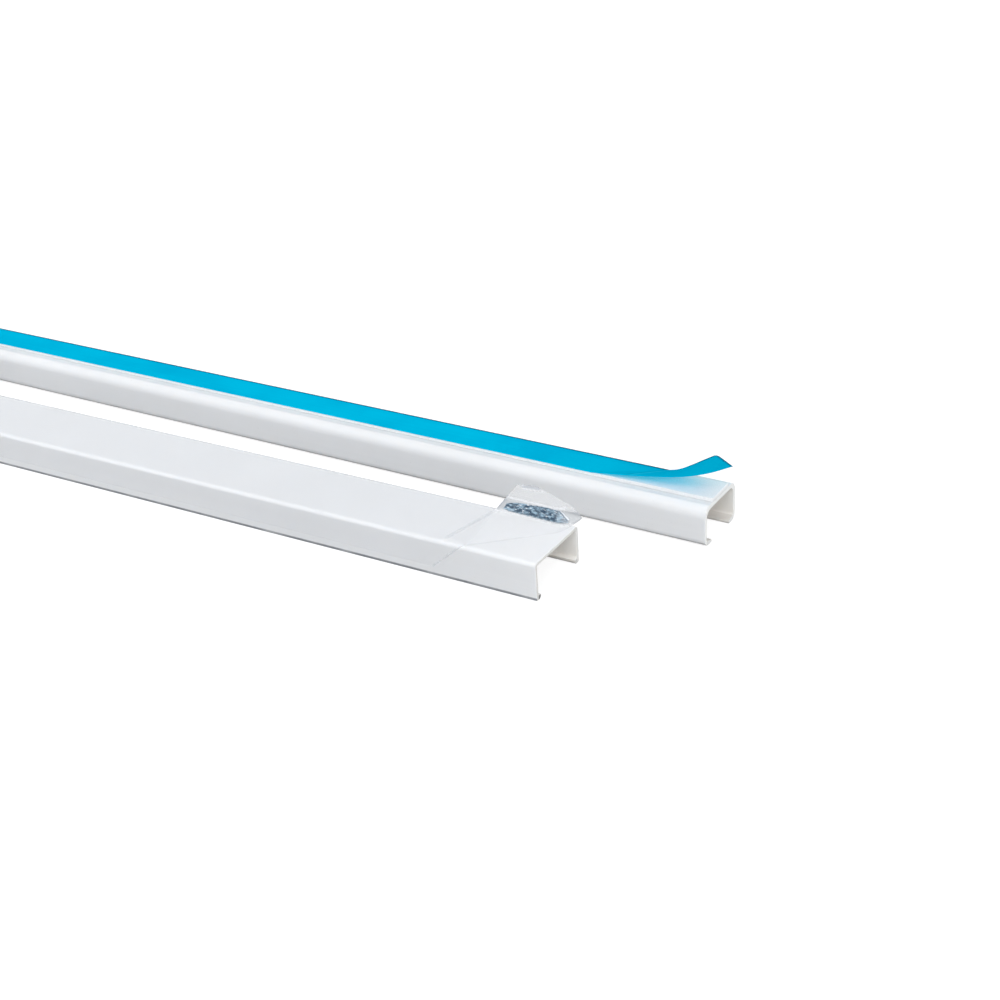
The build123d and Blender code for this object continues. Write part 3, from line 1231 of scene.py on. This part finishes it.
@dataclass
class ProtectiveFilm:
    """Clear film round the cover, with its near corner turned back over a slanted fold.

    On the flat cut, a runs along the fold from its near end and b across it, to the side that is
    turned back, so that the plate has b below 0 and the flap b above 0.
    """

    cover: CoverChannel
    thickness: float = 0.1 * MM
    gap: float = 0.02 * MM
    hem: float = 4.0 * MM
    fold_from_end: float = 32.0 * MM
    fold_inset: float = 0.8 * MM
    fold_angle: float = 41.0
    flap_length: float = 47.0 * MM
    roll_radius: float = 1.2 * MM
    roll_turn: float = 135.0
    leaf_turn: float = 160.0
    leaf_reach: float = 25.0 * MM
    overhang: float = 3.5 * MM
    lift_from: float = 6.0 * MM
    end_lift: float = 5.3 * MM
    freed_height: float = 5.0 * MM
    crinkle: float = 0.12 * MM
    crinkle_length: float = 3.1 * MM
    worked_length: float = 64 * MM
    long_columns: int = 14
    near_columns: int = 120
    leaf_columns: int = 60
    column_growth: float = 1.3
    point_step: float = 0.55 * MM
    # Free edge of the flap on the flat cut, from the fold's near end to its far end, in mm: (a, b)
    free_edge: tuple[Spot, ...] = ((0, 0), (25.6, 25), (33, 22), (37.7, 16.8), (43.5, 9), (47, 0))
    # Painted shade lines where the film leaves the plate and the near wall, and along the far shoulder:
    # (X from the cover's end, way round from the near wall)
    lift_line: Crease = Crease((-35.6, 28.9), (-41.1, 3.8), 1.5, 0.2)
    wall_line: Crease = Crease((-32.0, 0.8), (-46.0, -12.0), 1.3, 0.2)
    rim_line: Crease = Crease((-1524.0, 32.4), (0.0, 32.4), 1.1, 0.3)
    # Creases and patches of the flap, painted as shade lines, a highlight, a glint and reflections:
    # (a, b)
    left: Crease = Crease((15.36, 15.0), (25.6, 25.0), 0.4, 0.2)
    strip: Crease = Crease((15.0, 14.6), (19.5, 19.0), 2.5, 0.25)
    crest: Crease = Crease((27.8, 23.2), (32.8, 21.2), 1.8, 0.75)
    flap_highlight: Crease = Crease((18.5, 20.0), (40.5, 9.4), 1.4, 0.6)
    glint: Crease = Crease((39.3, 9.2), (41.4, 4.4), 0.6, 1.0)
    shaded: Crease = Crease((38.8, 8.9), (40.8, 4.4), 0.4, 0.7)
    under: Crease = Crease((21.3, 11.8), (41.0, 3.1), 0.5, 0.6)
    grey_reflection_patch: Patch = Patch(
        ((13, 15), (48, -1.5), (49.5, 3), (39.5, 9.8), (27, 15.9), (18, 20)), ragged=0.8, soft=1.2
    )
    reflection_patch: Patch = Patch(
        ((17.2, 14.2), (21.3, 11.8), (41, 3.1), (42, 4.3))
        + ((39.1, 9.6), (34.7, 12.2), (24.4, 15.8), (19.6, 16.8)),
        ragged=0.6,
        soft=0.4,
    )

    def near_corner(self) -> np.ndarray:
        """Near end of the fold on the plate, (along, across)."""
        return np.array([-self.fold_from_end, self.fold_inset - self.cover.width / 2])

    def directions(self) -> tuple[np.ndarray, np.ndarray]:
        """Unit vectors along the fold and across it, in the plate's plane."""
        turn = np.radians(self.fold_angle)
        return np.array([np.cos(turn), np.sin(turn)]), np.array([np.sin(turn), -np.cos(turn)])

    def on_cut(self, flat: np.ndarray) -> np.ndarray:
        """Places (a, b) on the flat cut of points on the plate or unrolled from it, (along, across)."""
        return np.stack([(flat - self.near_corner()) @ way for way in self.directions()], axis=-1)

    def moved(self, crease: Crease) -> Crease:
        """A crease that is given from the cover's end and near wall, moved to the flat cut."""
        flat = np.array([crease.start, crease.end]) * MM - [0.0, self.cover.width / 2]
        start, end = self.on_cut(flat) / MM
        return replace(crease, start=tuple(start), end=tuple(end))

    def section(self) -> np.ndarray:
        """Open line round the cover, from the far hem over the plate to the near hem."""
        skin = self.gap + self.thickness / 2
        half = self.cover.width / 2 + skin
        top = self.cover.height + skin
        corners = np.array([(half, self.hem), (half, top), (-half, top), (-half, self.hem)])
        radii = np.full(len(corners), self.cover.shoulder + skin)
        return filled(corner_arcs(corners, radii, closed=False), self.point_step, closed=False)

    def stops(self, line: np.ndarray) -> np.ndarray:
        """X where the film stops on each line along the cover.

        That is at the cover's end, on the fold, or on the fold carried down the near wall.
        """
        near = self.near_corner()
        slope = np.tan(np.radians(self.fold_angle))
        on_fold = near[0] + (line[:, 0] - near[1]) / slope
        on_wall = near[0] - (line[:, 1].max() - line[:, 1]) / slope
        at_end = self.overhang * self.freedom(line)
        return np.where(line[:, 0] < near[1], on_wall, np.minimum(on_fold, at_end))

    def freedom(self, line: np.ndarray) -> np.ndarray:
        """Share of the end's lift and overhang on each line: all on the plate, none at the hem."""
        return ramp(line[:, 1].max() - self.freed_height, line[:, 1].max(), line[:, 1])

    def wrap(self, line: np.ndarray) -> np.ndarray:
        """Stuck part: point(j, i) is the section's point j, carried to X of column i.

        The columns are long up to the worked end and then short, up to where the film stops. Its end
        lifts off the plate by a parabola in X.
        """
        stop = self.stops(line)[:, None]
        long = np.linspace(-self.cover.length, -self.worked_length, self.long_columns)[:-1]
        share = np.linspace(0.0, 1.0, self.near_columns)[None]
        worked = -self.worked_length + (stop + self.worked_length) * share
        x = np.concatenate([np.broadcast_to(long, (len(line), len(long))), worked], axis=1)
        rise = np.clip((x + self.lift_from) / (self.lift_from + self.overhang), 0.0, None) ** 2
        rise = rise * self.end_lift * self.freedom(line)[:, None]
        return np.stack([x, line[:, :1] + 0 * x, line[:, 1:] + rise], axis=-1)

    def flap(self, root: np.ndarray) -> tuple[np.ndarray, np.ndarray]:
        """Turned-back part: point(i, b) starts at the fold's point i and follows the angle theta(b).

        Theta turns evenly through the roll and then slowly along the leaf. The place across the fold
        grows by cos(theta) and the height by sin(theta) for each step of b. Crossed sines crinkle it.

        Args:
            root: Points of the fold.

        Returns:
            The points and their places on the flat cut, both without the fold itself.
        """
        over = self.directions()[1]
        a = self.on_cut(root[:, :2])[:, :1]
        edge = np.array(self.free_edge) * MM
        share = np.linspace(0.0, 1.0, self.leaf_columns) ** self.column_growth
        b = np.interp(a, edge[:, 0], edge[:, 1]) * share
        first, last = np.radians([self.roll_turn, self.leaf_turn])
        roll = self.roll_radius * first
        leaf = first + (last - first) * (b - roll) / (self.leaf_reach - roll)
        theta = np.where(b < roll, b / self.roll_radius, leaf)
        middle = (theta[:, 1:] + theta[:, :-1]) / 2
        step = np.diff(b, axis=1)
        across = np.cumsum(np.cos(middle) * step, axis=1)
        rise = np.cumsum(np.sin(middle) * step, axis=1)
        b = b[:, 1:]
        wave = 2 * np.pi / self.crinkle_length
        ripple = np.sin(wave * (a + 0.6 * b)) * np.sin(wave * (0.8 * b - 0.3 * a))
        rise += self.crinkle * ripple * ramp(roll, 3 * roll, b)
        plan = root[:, None, :2] + across[..., None] * over
        points = np.concatenate([plan, (root[:, 2:] + rise)[..., None]], axis=-1)
        return points, np.stack([a + 0 * b, b], axis=-1)

    def build(self) -> Piece:
        """Join the stuck part and the flap along the fold and lay the flat cut on them."""
        line = self.section()
        wrap = self.wrap(line)
        ids = np.arange(wrap[..., 0].size).reshape(wrap.shape[:2])
        near = self.near_corner()
        far = near + self.directions()[0] * self.flap_length
        folded = (line[:, 0] >= near[1]) & (line[:, 0] <= far[1])
        leaf, leaf_cut = self.flap(wrap[folded, -1])
        leaf_ids = ids.size + np.arange(leaf[..., 0].size).reshape(leaf.shape[:2])
        joined = np.concatenate([ids[folded, -1:], leaf_ids], axis=1)
        points = np.concatenate([wrap.reshape(-1, 3), leaf.reshape(-1, 3)])
        quads = np.concatenate([grid_quads(ids), grid_quads(joined)])
        piece = new_piece("clear_film", self.cover.place().put(points), quads.tolist())
        run = np.linalg.norm(np.diff(line, axis=0), axis=1)
        girth = np.concatenate([[0.0], np.cumsum(run)])
        aside = (girth[-1] / 2 - girth)[:, None] + 0 * wrap[..., 0]
        wrap_cut = self.on_cut(np.stack([wrap[..., 0], aside], axis=-1))
        cut = np.concatenate([wrap_cut.reshape(-1, 2), leaf_cut.reshape(-1, 2)])
        make_sheet(piece, cut, self.thickness)
        return seat(piece, Node.FILM)

    def dress(self, piece: Piece, effects: Effects) -> None:
        """Give the film its veil, with painted shade along the creases of the lifted corner and painted
        reflections on the flap.
        """
        lifted, down, rim = map(self.moved, (self.lift_line, self.wall_line, self.rim_line))
        fold_end = (self.flap_length / MM, 0.0)
        run = np.subtract(self.under.end, self.under.start)
        finish = FilmFinish(
            "film_clear",
            creases=(lifted, down, self.left, self.strip, self.crest, rim),
            shade_lines=(self.shaded, self.under),
            glint=self.glint,
            flap_highlight=self.flap_highlight,
            slack=Patch(((0.0, 0.0), lifted.end, lifted.start, fold_end), ragged=1.0, soft=2.0),
            grey_reflection_patch=self.grey_reflection_patch,
            reflection_patch=self.reflection_patch,
            streak_turn=float(np.arctan2(run[1], run[0])),
        )
        piece.data.materials.append(finish.material(effects))

    def declare(self, piece: Piece, rests_on: Piece) -> None:
        """Left empty: it does nothing."""


# Floor, light and camera


@dataclass(frozen=True)
class Lamp:
    """Broad soft lamp, far off in one direction."""

    name: str
    strength: float
    spread: float
    azimuth: float
    elevation: float
    colour: Colour = (0.98, 0.99, 1.0)


def seen_directly(wire: Wiring) -> Socket:
    """1 for what the eye sees, straight on, mirrored or through something clear."""
    path = wire.add("LightPath").outputs
    seen = wire.math("ADD", path["Is Camera Ray"], path["Is Glossy Ray"])
    return wire.math("ADD", seen, path["Is Transmission Ray"], clamp=True)


@dataclass
class Studio:
    """Pale floor, soft light from above, the front, the left and the opened ends, and the camera."""

    floor_half: float = 6.0
    floor_gap: float = 0.05 * MM
    floor_tone: Colour = (0.37, 0.37, 0.37)
    floor_glow: float = 0.78
    sky: float = 0.43
    sky_tint: Colour = (0.86, 0.92, 1.0)
    lamps: tuple[Lamp, ...] = (
        Lamp("upper_lamp", 0.32, 50.0, 180.0, 75.0, (1.0, 0.97, 0.94)),
        Lamp("front_lamp", 0.86, 22.0, 22.0, 44.0),
        Lamp("left_lamp", 0.38, 30.0, -45.0, 40.0),
        Lamp("end_lamp", 0.95, 30.0, 75.0, 35.0),
        Lamp("low_lamp", 0.72, 30.0, 58.0, 15.0, (1.0, 0.985, 0.97)),
    )
    focal_pixels: float = 1577.7
    image_pixels: float = 1000.0
    sensor: float = 36.0
    nearest: float = 0.01
    azimuth: float = 33.32
    elevation: float = 27.62
    roll: float = -3.70
    eye: tuple[float, float, float] = (229.4 * MM, -493.1 * MM, 308.8 * MM)

    def build(self) -> None:
        """Make the floor, the light and the camera."""
        self.lay_floor()
        self.light()
        self.set_camera()
        bpy.context.scene.view_settings.view_transform = "Standard"

    def lay_floor(self) -> None:
        """Flat floor, white to the eye and pale to the light that it sends back."""
        side = np.array([-1.0, 1.0]) * self.floor_half
        x, y = np.meshgrid(side, side, indexing="ij")
        points = np.stack([x, y, 0 * x - self.floor_gap], axis=-1)
        floor = new_piece("floor", points, [[0, 2, 3, 1]])
        material = bpy.data.materials.new("floor_pale")
        material.use_nodes = True
        wire = Wiring(material.node_tree)
        matte = wire.add("BsdfDiffuse", {"Color": self.floor_tone})
        glow = wire.add("Emission", {"Strength": wire.times(seen_directly(wire), self.floor_glow)})
        both = wire.add("AddShader", {0: matte.outputs[0], 1: glow.outputs[0]})
        wire.add("OutputMaterial", {"Surface": both.outputs[0]})
        floor.data.materials.append(material)

    def light(self) -> None:
        """Even pale sky, white to the eye, and the lamps."""
        world = bpy.data.worlds.new("studio")
        bpy.context.scene.world = world
        world.use_nodes = True
        wire = Wiring(world.node_tree)
        seen = seen_directly(wire)
        level = wire.times(seen, 1.0 - self.sky, self.sky)
        colour = wire.mix(seen, self.sky_tint, WHITE)
        sky = wire.add("Background", {"Color": colour, "Strength": level})
        wire.add("OutputWorld", {"Surface": sky.outputs[0]})
        for lamp in self.lamps:
            data = bpy.data.lights.new(lamp.name, "SUN")
            data.energy = lamp.strength
            data.angle = np.radians(lamp.spread)
            data.color = lamp.colour
            self.set_up(lamp.name, data, self.looking_back(lamp.azimuth, lamp.elevation))

    @staticmethod
    def looking_back(azimuth: float, elevation: float, roll: float = 0.0) -> np.ndarray:
        """Right, up and back directions of something that looks at the object.

        Args:
            azimuth: Turn about Z, 0 where it looks along +Y.
            elevation: Angle above the horizon.
            roll: Turn about its own view.

        Returns:
            The three unit vectors, one column each.
        """
        a, e, r = np.radians([azimuth, elevation, roll])
        back = np.array([np.sin(a) * np.cos(e), -np.cos(a) * np.cos(e), np.sin(e)])
        level = np.array([np.cos(a), np.sin(a), 0.0])
        above = np.cross(back, level)
        right = np.cos(r) * level + np.sin(r) * above
        return np.stack([right, np.cos(r) * above - np.sin(r) * level, back], axis=1)

    @staticmethod
    def set_up(name: str, data: Any, axes: np.ndarray, place: Any = (0.0, 0.0, 0.0)) -> Piece:
        """Put a lamp or the camera in the scene, turned to its axes and moved to its place."""
        thing = bpy.data.objects.new(name, data)
        matrix = np.eye(4)
        matrix[:3, :3] = axes
        matrix[:3, 3] = place
        thing.matrix_world = Matrix(matrix)
        bpy.context.scene.collection.objects.link(thing)
        return thing

    def set_camera(self) -> None:
        """Camera placed from the base's end and near wall."""
        low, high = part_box(Node.BASE.value)
        data = bpy.data.cameras.new("camera")
        data.sensor_width = self.sensor
        data.lens = self.focal_pixels / self.image_pixels * self.sensor
        data.clip_start = self.nearest
        axes = self.looking_back(self.azimuth, self.elevation, self.roll)
        place = np.array([high.x, low.y, 0.0]) + np.array(self.eye)
        bpy.context.scene.camera = self.set_up("camera", data, axes, place)


def main() -> None:
    """Build and dress each piece in order, then set the studio."""
    logging.basicConfig(level=logging.INFO, format="%(name)s: %(message)s")
    effects = Effects()
    base = BaseChannel()
    tape = AdhesiveTape(base)
    liner = ReleaseLiner(tape)
    cover = CoverChannel()
    film = ProtectiveFilm(cover)
    pieces = []
    for part in (base, tape, liner, cover, film):
        pieces.append(part.build())
        part.dress(pieces[-1], effects)
    _, tape_piece, liner_piece, cover_piece, film_piece = pieces
    liner.declare(liner_piece, tape_piece)
    film.declare(film_piece, cover_piece)
    Studio().build()


if __name__ == "__main__":
    main()
